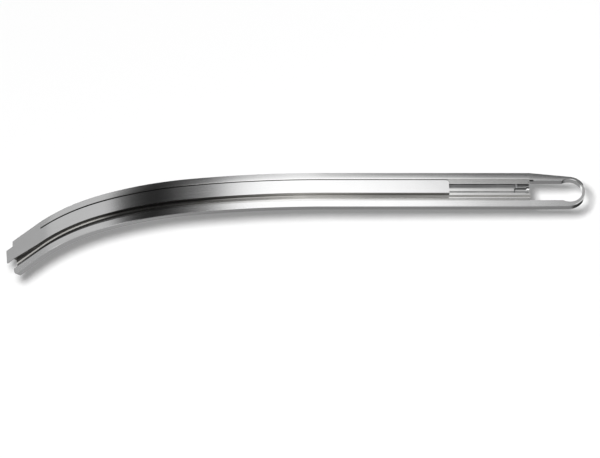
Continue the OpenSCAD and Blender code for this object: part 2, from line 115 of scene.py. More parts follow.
def turned(x, y, z):
    """A direction of the straight part's frame, in the row frame."""
    return Vector((x * COS + z * SIN, y, z * COS - x * SIN))


# ---------------------------------------------------------------- camera, from the image points
WIDE, HIGH = 600, 458
PX_PER_MM = 2.881
CAMERA_FAR = 5.0
SENSOR = 36.0
# The photo's right and the way from the part to the camera
RIGHT = turned(0.9951, -0.0560, 0.0812).normalized()
TOWARDS = turned(-0.0986, -0.5650, 0.8190).normalized()
UP = TOWARDS.cross(RIGHT).normalized()
# The far top edge at the nose shows here
NOSE_PX = (584.3, 172.8)

camera_data = bpy.data.cameras.new("camera")
camera = bpy.data.objects.new("camera", camera_data)
bpy.context.scene.collection.objects.link(camera)
camera_data.sensor_fit = "AUTO"
camera_data.sensor_width = SENSOR
camera_data.lens = PX_PER_MM * 1000 * CAMERA_FAR * SENSOR / WIDE
camera_data.clip_start = 0.1
camera_data.clip_end = 50
aim = (
    stood(0, WIDTH / 2, 0)
    - RIGHT * (NOSE_PX[0] - WIDE / 2) / PX_PER_MM * MM
    - UP * (HIGH / 2 - NOSE_PX[1]) / PX_PER_MM * MM
)
camera.location = aim + TOWARDS * CAMERA_FAR
camera.rotation_mode = "QUATERNION"
camera.rotation_quaternion = Matrix((RIGHT, UP, TOWARDS)).transposed().to_quaternion()
bpy.context.scene.camera = camera


def shown(point):
    """Image point at which a point of the object shows."""
    local = camera.rotation_quaternion.inverted() @ (point - camera.location)
    long_side = max(WIDE, HIGH)
    scale = long_side * camera_data.lens / SENSOR / -local.z
    return (
        WIDE / 2 - camera_data.shift_x * long_side + local.x * scale,
        HIGH / 2 + camera_data.shift_y * long_side - local.y * scale,
    )


# ---------------------------------------------------------------- materials
def new_material(name):
    material = bpy.data.materials.new(name)
    material.use_nodes = True
    tree = material.node_tree
    return material, tree, tree.nodes["Principled BSDF"]


def add(tree, kind, **values):
    node = tree.nodes.new(kind)
    for key, value in values.items():
        if key in node.inputs:
            node.inputs[key].default_value = value
        else:
            setattr(node, key, value)
    return node


def mapped(tree, coords, scale):
    """Coordinates stretched by a scale."""
    where = add(tree, "ShaderNodeTexCoord")
    mapping = add(tree, "ShaderNodeMapping")
    mapping.inputs["Scale"].default_value = scale
    tree.links.new(where.outputs[coords], mapping.inputs["Vector"])
    return mapping.outputs["Vector"]


def noise(tree, vector, scale, detail=3.0, roughness=0.55):
    node = add(tree, "ShaderNodeTexNoise", Scale=scale, Detail=detail, Roughness=roughness)
    tree.links.new(vector, node.inputs["Vector"])
    return node.outputs["Fac"]


# Noise lies mostly between these values
NOISE_LOW, NOISE_HIGH = 0.3, 0.7


def between(tree, value, low, high):
    """A noise value, stretched to lie between two numbers."""
    node = add(tree, "ShaderNodeMapRange")
    node.inputs["From Min"].default_value = NOISE_LOW
    node.inputs["From Max"].default_value = NOISE_HIGH
    node.inputs["To Min"].default_value = low
    node.inputs["To Max"].default_value = high
    tree.links.new(value, node.inputs["Value"])
    return node.outputs["Result"]


def tinted(tree, value, dark, light):
    """A colour from dark to light over a noise value."""
    ramp = add(tree, "ShaderNodeValToRGB")
    ramp.color_ramp.elements[0].position = NOISE_LOW
    ramp.color_ramp.elements[0].color = (*dark, 1)
    ramp.color_ramp.elements[1].position = NOISE_HIGH
    ramp.color_ramp.elements[1].color = (*light, 1)
    tree.links.new(value, ramp.inputs["Fac"])
    return ramp.outputs["Color"]


def bumped(tree, shader, heights, distance, strength):
    bump = add(tree, "ShaderNodeBump", Distance=distance, Strength=strength)
    tree.links.new(heights, bump.inputs["Height"])
    tree.links.new(bump.outputs["Normal"], shader.inputs["Normal"])


def split_up(tree, coords):
    """The X, Y and Z of one kind of coordinates."""
    where = add(tree, "ShaderNodeTexCoord")
    split = add(tree, "ShaderNodeSeparateXYZ")
    tree.links.new(where.outputs[coords], split.inputs["Vector"])
    return split.outputs


def ramp_of(tree, value, stops, low, high):
    """A grey ramp over a value, from stops of (value, strength)."""
    spread = add(tree, "ShaderNodeMapRange")
    spread.inputs["From Min"].default_value = low
    spread.inputs["From Max"].default_value = high
    tree.links.new(value, spread.inputs["Value"])
    ramp = add(tree, "ShaderNodeValToRGB")
    elements = ramp.color_ramp.elements
    while len(elements) < len(stops):
        elements.new(0.5)
    for element, (x, strength) in zip(elements, stops):
        element.position = (x - low) / (high - low)
        element.color = (strength, strength, strength, 1)
    tree.links.new(spread.outputs["Result"], ramp.inputs["Fac"])
    return ramp.outputs["Color"]


# The ramps of painted light and shade along the strip end at this station
PAINTED_LIGHT_END = 210


def painted_light_along(tree, colour, stops):
    """A colour scaled by a share that changes along the strip, painting light and shade along it:
    stops are (station, share).
    """
    stops = [(station * MM, share) for station, share in stops]
    shares = ramp_of(tree, split_up(tree, "UV")["X"], stops, 0, PAINTED_LIGHT_END * MM)
    scaled = add(tree, "ShaderNodeVectorMath", operation="MULTIPLY")
    tree.links.new(colour, scaled.inputs[0])
    tree.links.new(shares, scaled.inputs[1])
    return scaled.outputs["Vector"]


# Heights of the polishing lines and of the matt grain, in metres
LINE_HEIGHT, GRAIN_HEIGHT = 0.00002, 0.00003
# The dark of the polishing lines, as a share of the steel's shade
LINE_SHARE = 0.88


def steel(
    name, shade, coords="UV", along=40.0, across=9000.0, rough=(0.1, 0.22), bump=0.25, stops=None
):
    """Steel polished lengthways: long fine lines in its gloss, its shade and its surface.

    stops, if given, paint light and shade along the strip by scaling its shade.
    """
    material, tree, shader = new_material(name)
    shader.inputs["Metallic"].default_value = 1.0
    lines = noise(tree, mapped(tree, coords, (along, across, across)), 1.0, 4.0, 0.6)
    cloud = noise(tree, mapped(tree, coords, (60, 60, 60)), 1.0, 3.0)
    tree.links.new(between(tree, lines, *rough), shader.inputs["Roughness"])
    low = tuple(c * LINE_SHARE for c in shade)
    mixed = add(tree, "ShaderNodeMix", data_type="RGBA", blend_type="MULTIPLY")
    mixed.inputs["Factor"].default_value = 0.5
    tree.links.new(tinted(tree, lines, low, shade), mixed.inputs["A"])
    tree.links.new(tinted(tree, cloud, (0.93, 0.93, 0.94), (1, 1, 1)), mixed.inputs["B"])
    shade_out = mixed.outputs["Result"]
    if stops:
        shade_out = painted_light_along(tree, shade_out, stops)
    tree.links.new(shade_out, shader.inputs["Base Color"])
    bumped(tree, shader, lines, LINE_HEIGHT, bump)
    return material


def matt(name, dark, light, rough=(0.5, 0.7), grain=4000.0, bump=0.3, metallic=0.0, stops=None):
    """A fine-grained moulded, rubber or painted surface; stops paint light and shade along the
    strip by scaling its shade.
    """
    material, tree, shader = new_material(name)
    shader.inputs["Metallic"].default_value = metallic
    fine = noise(tree, mapped(tree, "Object", (grain, grain, grain)), 1.0, 3.0)
    cloud = noise(tree, mapped(tree, "Object", (250, 250, 250)), 1.0, 3.0)
    colour = tinted(tree, cloud, dark, light)
    if stops:
        colour = painted_light_along(tree, colour, stops)
    tree.links.new(colour, shader.inputs["Base Color"])
    tree.links.new(between(tree, fine, *rough), shader.inputs["Roughness"])
    bumped(tree, shader, fine, GRAIN_HEIGHT, bump)
    return material


def glass(name, tint, rough=0.03):
    material, tree, shader = new_material(name)
    shader.inputs["Base Color"].default_value = (*tint, 1)
    shader.inputs["Transmission Weight"].default_value = 1.0
    shader.inputs["IOR"].default_value = 1.52
    smear = noise(tree, mapped(tree, "Object", (900, 900, 900)), 1.0, 2.0)
    tree.links.new(between(tree, smear, rough * 0.5, rough * 1.5), shader.inputs["Roughness"])
    return material


MATERIALS = {
    # The cover's near wall: a darker, rougher copy of the steel, painted shade, whose shade also
    # changes along the strip
    "cover_wall_painted_shade": steel(
        "cover_wall_painted_shade", (0.5, 0.49, 0.47), rough=(0.35, 0.5),
        stops=[
            (0, 0.45), (70, 0.48), (99, 1.0), (118, 0.4), (130, 0.2), (145, 0.16), (170, 0.3),
            (206, 0.36),
        ],
    ),
    # The ledges: a lighter copy of the steel, painted reflection, darkened towards the tip by
    # painted shade
    "ledge_painted_light": steel(
        "ledge_painted_light", (0.9, 0.895, 0.88), rough=(0.14, 0.25),
        stops=[
            (0, 0.95), (50, 1.0), (105, 1.0), (122, 0.9), (134, 0.9), (142, 0.7), (150, 0.4),
            (163, 0.22), (206, 0.27),
        ],
    ),
    # The far rim's inner wall: a darker copy of the steel, painted shade, darker still towards the
    # tip
    "inner_rim_painted_shade": steel(
        "inner_rim_painted_shade", (0.55, 0.55, 0.54), rough=(0.14, 0.25),
        stops=[(0, 0.9), (105, 1.0), (122, 0.85), (140, 0.6), (150, 0.4), (163, 0.2), (206, 0.2)],
    ),
    # A lighter copy of the steel, painted highlight, for the far ledge and the loop's inner wall by
    # the nose
    "painted_highlight_steel": steel("painted_highlight_steel", (0.97, 0.97, 0.97), rough=(0.14, 0.25)),
    # The seal's look, painted shade and painted reflection along the strip: nearly black from 133
    # to
    # 164, as in the photo
    "rail_painted_shade": matt(
        "rail_painted_shade", (0.5, 0.49, 0.47), (0.56, 0.55, 0.53), (0.2, 0.3),
        stops=[
            (0, 0.6), (70, 0.5), (99, 0.95), (118, 0.6), (124, 0.445), (128, 0.248), (133, 0.076),
            (134, 0.064), (137, 0.043), (142, 0.027), (150, 0.016), (158, 0.033), (163, 0.062),
            (164, 0.066), (168, 0.285), (171, 0.756), (175, 0.956), (206, 1),
        ],
    ),
    # A dark grey for the strips in the gap beside the seal and under the cover's tip: painted
    # shade, fading along the strip
    "gap_painted_shade": matt(
        "gap_painted_shade", (0.26, 0.255, 0.245), (0.32, 0.315, 0.3),
        stops=[(0, 0.5), (70, 0.55), (99, 1.0), (118, 0.5), (134, 0.3), (150, 0.12), (206, 0.15)],
    ),
    # Near black, painted shade, for the catch's groove and the box in the far arm's corner
    "painted_shade_black": matt("painted_shade_black", (0.006, 0.006, 0.006), (0.012, 0.012, 0.012)),
    # Near white, a painted highlight, on the upward faces of the catch's hook
    "painted_highlight_white": matt("painted_highlight_white", (0.88, 0.88, 0.88), (0.94, 0.94, 0.94), (0.2, 0.3)),
    "catch_top": matt("catch_top", (0.26, 0.26, 0.26), (0.34, 0.34, 0.34), (0.25, 0.4)),
    "spine_steel": steel("spine_steel", (0.765, 0.765, 0.765)),
    "cover_steel": steel("cover_steel", (0.79, 0.79, 0.79), rough=(0.09, 0.2)),
    "screw_steel": steel("screw_steel", (0.55, 0.55, 0.56), "Object", 900, 900, (0.25, 0.4), 0.2),
    "catch_steel": steel("catch_steel", (0.62, 0.62, 0.62), "Object", 300, 5000, (0.3, 0.45), 0.2),
    "spring_steel": steel("spring_steel", (0.5, 0.5, 0.52), "Object", 300, 4000, (0.25, 0.4), 0.2),
    "contact_metal": steel(
        "contact_metal", (0.8, 0.8, 0.79), "Object", 60, 9000, (0.12, 0.25), 0.15,
    ),
    "housing_alloy": steel(
        "housing_alloy", (0.42, 0.43, 0.45), "Object", 700, 2500, (0.3, 0.45), 0.2,
    ),
    "seal_rubber": matt(
        "seal_rubber", (0.5, 0.48, 0.44), (0.6, 0.58, 0.53), (0.2, 0.3), metallic=1.0,
    ),
    "bed_plastic": matt("bed_plastic", (0.16, 0.16, 0.16), (0.23, 0.23, 0.23)),
    "dark_rubber": matt("dark_rubber", (0.02, 0.02, 0.02), (0.035, 0.035, 0.036)),
    "black_metal": matt("black_metal", (0.015, 0.015, 0.016), (0.03, 0.03, 0.032), (0.35, 0.5)),
    "ribbon_film": matt(
        "ribbon_film", (0.015, 0.012, 0.01), (0.03, 0.024, 0.02), (0.2, 0.35), 1500, 0.1,
    ),
    "board_green": matt(
        "board_green", (0.01, 0.1, 0.03), (0.02, 0.17, 0.06), (0.25, 0.4), 1500, 0.15,
    ),
    "sensor_chip": matt(
        "sensor_chip", (0.03, 0.025, 0.07), (0.05, 0.04, 0.12), (0.1, 0.2), 2500, 0.05,
    ),
    "led_phosphor": matt(
        "led_phosphor", (0.75, 0.6, 0.15), (0.9, 0.78, 0.28), (0.4, 0.6), 5000, 0.2,
    ),
    "optic_glass": glass("optic_glass", (0.93, 0.97, 0.98)),
    "filter_glass": glass("filter_glass", (0.62, 0.88, 0.93)),
}


for sub in frame["record"]["subparts"]:
    data = NODES[sub["node"]].data
    data.materials.clear()
    data.materials.append(MATERIALS[sub["material_slot"]])


# ---------------------------------------------------------------- swept pieces
# Longest steps between stations
BEND_STEP, STRAIGHT_STEP = 1.2, 6


def stations(start, end, extra=()):
    """Stations from start to end: close together in the bends, and each extra one."""
    at, found = 0.0, {start, end}
    for length, radius in BENDS:
        steps = max(1, round(length / (BEND_STEP if radius else STRAIGHT_STEP)))
        found.update(at + length * k / steps for k in range(steps + 1))
        at += length
    found.update(extra)
    return sorted(s for s in found if start <= s <= end)


def swept(name, parts, body, looks, sharp=20):
    """One object from several closed sections swept along the strip.

    Each part is (stations, section, others): section(station) gives [(across, depth), ...], and
    others gives the sides of the section that take another of the looks than the first.
    """
    mesh = bpy.data.meshes.new(name)
    bm = bmesh.new()
    uv = bm.loops.layers.uv.new("strip")
    for part_stations, section, others in parts:
        rings = [
            [bm.verts.new(on_strip(s, a, d)) for a, d in section(s)] for s in part_stations
        ]
        count = len(rings[0])
        first = section(part_stations[len(part_stations) // 2])
        length = [0.0]
        for k in range(count):
            a, b = first[k], first[(k + 1) % count]
            length.append(length[-1] + math.dist(a, b))
        for i in range(len(rings) - 1):
            for k in range(count):
                n = (k + 1) % count
                face = bm.faces.new((rings[i][k], rings[i][n], rings[i + 1][n], rings[i + 1][k]))
                face.material_index = others.get(k, 0)
                here, there = part_stations[i], part_stations[i + 1]
                us = (here, here, there, there)
                vs = (length[k], length[k + 1], length[k + 1], length[k])
                for loop, u, v in zip(face.loops, us, vs):
                    loop[uv].uv = (u * MM, v * MM)
        for ring, flip in ((rings[0], True), (rings[-1], False)):
            cap = bm.faces.new(list(reversed(ring)) if flip else ring)
            for loop in cap.loops:
                loop[uv].uv = (loop.vert.co.z, loop.vert.co.y)
    bmesh.ops.recalc_face_normals(bm, faces=bm.faces)
    bmesh.ops.triangulate(bm, faces=[f for f in bm.faces if len(f.verts) > 4])
    bm.to_mesh(mesh)
    bm.free()
    return settle(name, mesh, body, looks, sharp)


def settle(name, mesh, body, looks, sharp=20):
    """Make an object of a mesh, with its looks, on its body."""
    mesh.polygons.foreach_set("use_smooth", [True] * len(mesh.polygons))
    mesh.set_sharp_from_angle(angle=math.radians(sharp))
    obj = bpy.data.objects.new(name, mesh)
    bpy.context.scene.collection.objects.link(obj)
    for look in looks:
        mesh.materials.append(MATERIALS[look])
    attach(obj, body)
    return obj


def corner_in(radius, distance):
    """How far a rounded corner's edge lies inside the square one, at a distance from its end."""
    if distance >= radius:
        return 0.0
    return radius - math.sqrt(max(0.0, radius**2 - (radius - distance) ** 2))


# Sizes across the strip and in depth, as in the source
FAR_RIM, NEAR_RIM = 2.6, 2.5
LEDGE_D = 1.6
CHANNEL_FAR = 3.55
CHANNEL_NEAR = 9.45
WALL, FLOOR = 0.65, 0.6
WINDOW_START = 19.2
COVER_START = 47.5
COVER_FAR, COVER_NEAR = 3.1, 8.25
SHEET, LEG, SEAT = 0.45, 0.4, 0.05
TIP_LEN = BENDS[4][0]
TIGHT_LEN, TIGHT_R = BENDS[3]
HEAD_LEN = 15
TAPER, TAPER_INSET = 1.05, 1.0
TONGUE_FAR = 2.2
COVER_CORNER, TIP_CORNER = 1.1, 1.2
# Facet of the far rim, and the small edges that the source leaves square
FACET_W, FACET_DROP = 1.75, 0.14
LEDGE_DROP = 0.12
FLANGE_DROP = 0.1
# The sides of the sections below that are the rims' inner walls with the ledges, and the
# cover's near wall: they take the looks after the first, steel with painted shade and highlight
INNER_SIDES = {3: 1, 4: 3, 5: 2, 9: 1}
COVER_WALL = {4: 1}
# The cover's near edge stands this much further out in the photo
COVER_MORE = 0.15
EDGE = 0.12
NEAR_EDGE = 0.2
# Just enough to keep two corners apart
HAIR = 0.01
BELLY_EDGE = 0.4
# The angles that round corners are drawn at
QUARTER = [math.radians(a) for a in range(0, 91, 15)]

# The cover's head starts at a facet of the source's tight bend
bend_steps = math.ceil(math.degrees(TIGHT_LEN / TIGHT_R))
tight_start = END - TIP_LEN - TIGHT_LEN
HEAD_START = max(
    s
    for s in (tight_start + TIGHT_LEN * k / bend_steps for k in range(bend_steps))
    if s <= END - HEAD_LEN
)


def spine_section(top_far):
    """The channel's section, with the far rim's top at a depth."""

    def section(station):
        near = WIDTH - corner_in(TIP_CORNER, END - station)
        inner = WIDTH - NEAR_RIM
        if top_far == 0:
            far = [(0, RIM_T), (0, FACET_DROP), (FACET_W, 0), (FAR_RIM - EDGE, 0), (FAR_RIM, EDGE)]
        else:
            far = [
                (0, RIM_T), (0, top_far), (FACET_W, top_far), (FAR_RIM - EDGE, top_far),
                (FAR_RIM, top_far + HAIR),
            ]
        return far + [
            (FAR_RIM, LEDGE_D), (CHANNEL_FAR, LEDGE_D),
            (CHANNEL_FAR, BELLY_D - FLOOR), (CHANNEL_NEAR, BELLY_D - FLOOR),
            (CHANNEL_NEAR, LEDGE_D + LEDGE_DROP), (inner, LEDGE_D), (inner, EDGE),
            (inner + EDGE, 0),
            (near - NEAR_EDGE, FLANGE_DROP), (near, FLANGE_DROP + NEAR_EDGE), (near, RIM_T),
            (CHANNEL_NEAR + WALL, RIM_T), (CHANNEL_NEAR + WALL, BELLY_D - BELLY_EDGE),
            (CHANNEL_NEAR + WALL - BELLY_EDGE, BELLY_D),
            (CHANNEL_FAR - WALL + BELLY_EDGE, BELLY_D),
            (CHANNEL_FAR - WALL, BELLY_D - BELLY_EDGE), (CHANNEL_FAR - WALL, RIM_T),
        ]

    return section


round_end = [END - TIP_CORNER * (1 - math.cos(a)) for a in QUARTER]
spine = swept(
    "spine",
    [
        (stations(WINDOW_START, HEAD_START - SEAT), spine_section(0), INNER_SIDES),
        (stations(HEAD_START - SEAT, END, round_end), spine_section(SHEET + SEAT), INNER_SIDES),
    ],
    "spine", ("spine_steel", "ledge_painted_light", "painted_highlight_steel", "inner_rim_painted_shade"),
)

# ---------------------------------------------------------------- the loop
WINDOW_W, WINDOW_R, WINDOW_Y = 8.2, 4.7, -0.3
NOSE_R = WINDOW_R + 1.0
# The nose is fuller on its near side in the photo
NEAR_NOSE_R = 6.6
NOSE_TAPER = 19.0
ARM_STEPS = 12
# The facet's share of the ring's width, where the ring is narrow
FACET_SHARE = 0.6
# The near edge's drop fades out over this length beside the nose
FALL_LEN = 13
# Which band of the loop is its inner wall, and from where that takes a lighter steel, a painted
# highlight
INNER_WALL, BRIGHT_WALL_FROM = 4, -7.6
# A near-black box in the far arm's corner, painted shade that stands in for a small relief
SHADE_BOX_STATIONS = (17.9, WINDOW_START + 0.1)
SHADE_BOX_ACROSS = (2.95, 3.34)
SHADE_BOX_DEPTHS = (-0.01, 0.45)
BOX_SIDES = ((0, 1, 3, 2), (4, 6, 7, 5), (0, 4, 5, 1), (2, 3, 7, 6), (0, 2, 6, 4), (1, 5, 7, 3))


def loop_paths(count=48):
    """Matching points along the loop's outside and its window, from the far arm to the near one."""
    outer, inner = [], []
    for side in (1, -1):
        nose = NOSE_R if side == 1 else NEAR_NOSE_R
        dx, dy = nose - NOSE_TAPER, side * WIDTH / 2 - WINDOW_Y
        touch = math.atan2(dy, dx) - side * math.acos(nose / math.hypot(dx, dy))
        touch_x, touch_y = nose * (math.cos(touch) - 1), WINDOW_Y + nose * math.sin(touch)
        half = side * WINDOW_W / 2
        meet = math.asin(half / WINDOW_R)
        start_x = -NOSE_R - WINDOW_R * math.cos(meet)
        arms, out_arms = [], []
        for k in range(ARM_STEPS + 1):
            t = k / ARM_STEPS
            arms.append((-WINDOW_START + t * (start_x + WINDOW_START), WINDOW_Y + half))
            x = -WINDOW_START + t * (touch_x + WINDOW_START)
            if x < -NOSE_TAPER:
                y = side * WIDTH / 2
            else:
                share = (x + NOSE_TAPER) / (touch_x + NOSE_TAPER)
                y = side * WIDTH / 2 + share * (touch_y - side * WIDTH / 2)
            out_arms.append((x, y))
        out_arc = [
            (nose * (math.cos(a) - 1), WINDOW_Y + nose * math.sin(a))
            for a in (touch - touch * k / count for k in range(1, count + 1))
        ]
        in_start = math.pi * side - meet
        in_arc = [
            (-NOSE_R + WINDOW_R * math.cos(a), WINDOW_Y + WINDOW_R * math.sin(a))
            for a in (in_start * (1 - k / count) for k in range(1, count + 1))
        ]
        outer.append(out_arms + out_arc)
        inner.append(arms + in_arc)
    return outer[0] + outer[1][-2::-1], inner[0] + inner[1][-2::-1]


def shifted(path, distances):
    """A path moved to its left by a distance at each point."""
    moved = []
    for i, (x, y) in enumerate(path):
        ax, ay = path[max(i - 1, 0)]
        bx, by = path[min(i + 1, len(path) - 1)]
        long = math.hypot(bx - ax, by - ay)
        moved.append((x - distances[i] * (by - ay) / long, y + distances[i] * (bx - ax) / long))
    moved[0] = (path[0][0], moved[0][1])
    moved[-1] = (path[-1][0], moved[-1][1])
    return moved


def loop_object():
    """The two arms and the nose round the window."""
    outer, inner = loop_paths()
    # The far rim's facet goes on along the far arm, and fades out round the nose
    insets, drops = [], []
    for i, (x, y) in enumerate(outer):
        room = min(math.dist((x, y), point) for point in inner)
        far = min(max((y - WINDOW_Y) / NOSE_R, 0), 1)
        insets.append(-(NEAR_EDGE + far * (min(FACET_W, room * FACET_SHARE) - NEAR_EDGE)))
        facet = FACET_DROP * min(room * FACET_SHARE / FACET_W, 1)
        drops.append(NEAR_EDGE + far * (facet - NEAR_EDGE))
    fall = [
        FLANGE_DROP * max(0, -y) * max(0, min(1, (-x - NOSE_R) / FALL_LEN)) / (WIDTH / 2)
        for x, y in outer
    ]
    lines = [
        [(x, y, -RIM_T) for x, y in outer],
        [(x, y, -drop - low) for (x, y), drop, low in zip(outer, drops, fall)],
        [(x, y, -low) for (x, y), low in zip(shifted(outer, insets), fall)],
        [(x, y, 0) for x, y in shifted(inner, [EDGE] * len(inner))],
        [(x, y, -EDGE) for x, y in inner],
        [(x, y, -RIM_T) for x, y in inner],
    ]
    mesh = bpy.data.meshes.new("loop")
    bm = bmesh.new()
    uv = bm.loops.layers.uv.new("strip")
    rows = [[bm.verts.new(stood(x, y, z - SKIN)) for x, y, z in line] for line in lines]
    for k in range(len(rows)):
        a, b = rows[k], rows[(k + 1) % len(rows)]
        for i in range(len(a) - 1):
            face = bm.faces.new((a[i], b[i], b[i + 1], a[i + 1]))
            for loop in face.loops:
                co = loop.vert.co
                loop[uv].uv = (co.x, co.y + co.z)
            if k == INNER_WALL and inner[i][0] > BRIGHT_WALL_FROM:
                face.material_index = 1
    bm.faces.new([row[0] for row in rows])
    bm.faces.new([row[-1] for row in reversed(rows)])
    # The box of painted shade in the far arm's corner
    cut = [
        bm.verts.new(on_strip(station, across, depth))
        for station in SHADE_BOX_STATIONS for across in SHADE_BOX_ACROSS for depth in SHADE_BOX_DEPTHS
    ]
    for corners in BOX_SIDES:
        bm.faces.new([cut[c] for c in corners]).material_index = 2
    bmesh.ops.recalc_face_normals(bm, faces=bm.faces)
    bm.to_mesh(mesh)
    bm.free()
    return settle("loop", mesh, "spine", ("spine_steel", "painted_highlight_steel", "painted_shade_black"))


loop = loop_object()
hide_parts("spine_channel")
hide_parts("spine_channel")


# ---------------------------------------------------------------- the cover
# The fold at the near edge, and the share of it that its middle point cuts off
FOLD, FOLD_CUT = 0.1, 0.3


def cover_near(station):
    """The cover's near edge, which narrows over the tip."""
    share = (station - (END - TIP_LEN + TAPER_INSET)) / (TIP_LEN - TAPER_INSET)
    return COVER_NEAR + COVER_MORE - TAPER * min(max(share, 0), 1)


def folded(near):
    """The near edge's rounded fold."""
    return [(near - FOLD, 0), (near - FOLD * FOLD_CUT, FOLD * FOLD_CUT), (near, FOLD)]


def cover_body(station):
    far = COVER_FAR + corner_in(COVER_CORNER, station - COVER_START)
    near = cover_near(station)
    low = LEDGE_D - SEAT
    return [(far, low), (far, 0)] + folded(near) + [
        (near, low), (near - LEG, low), (near - LEG, SHEET), (far + LEG, SHEET), (far + LEG, low),
    ]


def cover_tip(station):
    near = cover_near(station)
    low = LEDGE_D - SEAT if station < END else SHEET
    return [(COVER_FAR, SHEET), (COVER_FAR, 0)] + folded(near) + [
        (near, low), (near - LEG, low), (near - LEG, SHEET),
    ]


def cover_tongue(station):
    near = cover_near(station)
    return [(COVER_FAR, SHEET), (COVER_FAR, 0), (near, 0), (near, SHEET)]


def cover_head(station):
    return [(0, SHEET), (0, FACET_DROP), (FACET_W, 0), (COVER_FAR, 0), (COVER_FAR, SHEET)]


def tongue(station):
    return [(TONGUE_FAR, SHEET), (TONGUE_FAR, 0), (COVER_FAR, 0), (COVER_FAR, SHEET)]


corner_stations = [COVER_START + COVER_CORNER * (1 - math.cos(a)) for a in QUARTER]
cover = swept(
    "cover",
    [
        (stations(COVER_START, END - TIP_LEN, corner_stations), cover_body, COVER_WALL),
        (stations(END - TIP_LEN, END - SEAT), cover_tip, COVER_WALL),
        (stations(END - SEAT, END + TONGUE, [END]), cover_tongue, {}),
        (stations(HEAD_START, END), cover_head, {}),
        (stations(END, END + TONGUE), tongue, {}),
    ],
    "spine", ("cover_steel", "cover_wall_painted_shade"),
)
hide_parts("cover_strip")

# ---------------------------------------------------------------- the seal, and the painted shade in the gap beside it
SEAL_FAR, SEAL_NEAR, SEAL_TOP, BED_TOP = 8.4, 8.88, 1.5, 1.9
GAP_SHADE_NEAR = 9.04
# The seal's top leans a little, and its corners are broken
SEAL_LEAN, SEAL_CORNER = 0.03, 0.04
SEAL_FAR_CORNER_W, SEAL_FAR_CORNER_D = 0.06, 0.08
# The dark strips of painted shade, in the gap beside the seal and under the tip, start below
# the bed's top, and keep this far from their neighbours
GAP_SHADE_LOW, GAP_SHADE_STEP, GAP_SHADE_TOP = BED_TOP + 0.04, 0.15, SEAL_TOP + 0.2
GAP_SHADE_CLEAR = 0.02


def seal_section(station):
    return [
        (SEAL_FAR, BED_TOP), (SEAL_FAR, SEAL_TOP + SEAL_FAR_CORNER_D),
        (SEAL_FAR + SEAL_FAR_CORNER_W, SEAL_TOP + SEAL_LEAN),
        (SEAL_NEAR - SEAL_CORNER, SEAL_TOP), (SEAL_NEAR, SEAL_TOP + SEAL_CORNER),
        (SEAL_NEAR, BED_TOP),
    ]


# A strip of painted shade in the gap beside the seal, with a lighter top on its near side
def gap_shade_section(station):
    far, near = SEAL_NEAR + GAP_SHADE_CLEAR, CHANNEL_NEAR - GAP_SHADE_CLEAR
    return [
        (far, GAP_SHADE_LOW), (far, GAP_SHADE_LOW - GAP_SHADE_STEP), (GAP_SHADE_NEAR, GAP_SHADE_LOW - GAP_SHADE_STEP),
        (GAP_SHADE_NEAR + GAP_SHADE_CLEAR, GAP_SHADE_TOP), (near, GAP_SHADE_TOP), (near, GAP_SHADE_LOW),
    ]


def tip_gap_shade_section(station):
    """A dark strip of painted shade under the tapered edge of the cover's tip."""
    far, near = cover_near(station) - LEG, SEAL_FAR - GAP_SHADE_CLEAR
    return [(far, GAP_SHADE_LOW), (far, SEAL_TOP), (near, SEAL_TOP), (near, GAP_SHADE_LOW)]


seal = swept(
    "seal", [(stations(WINDOW_START + SEAT, END - SEAT), seal_section, {})], "spine",
    ("rail_painted_shade",),
)
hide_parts("cover_seal")
swept(
    "gap_shade_strip",
    [
        (stations(WINDOW_START + SEAT, END - SEAT), gap_shade_section, {3: 1}),
        (stations(END - TIP_LEN, END - SEAT), tip_gap_shade_section, {}),
    ],
    "spine", ("gap_painted_shade", "ledge_painted_light"),
)

# ---------------------------------------------------------------- the catch
CATCH_FAR, CATCH_NEAR = 5.55, 6.95
CATCH_STATIONS = (19.5, 24.5)
PIVOT_STATION, PIVOT_D, HEEL_R = 23.7, 2.8, 0.75
CATCH_TOP, HOOK_TOP, ARM_LOW = 1.1, 0.45, 2.0
GROOVE_FAR, GROOVE_NEAR, GROOVE_D = 5.62, 6.35, 1.2
# From the tip to the hook's end, to the foot of its slope, and to where its painted highlight stops
HOOK_LEN, HOOK_FOOT, HOOK_HIGHLIGHT = 0.9, 1.2, 1.25
# Cuts at the catch's back, tip and arm
BACK_CUT, TIP_CUT_W, TIP_CUT_D, ARM_CUT = 0.25, 0.1, 0.15, 0.2
# The arm's underside ends this far before the pivot
ARM_SHORT = 0.8
# Points less deep than this belong to the top, which the groove lowers
TOP_LIMIT = ARM_LOW - 0.5
# Least upward part of the normal of a face that takes the painted highlight
UPWARD = 0.3


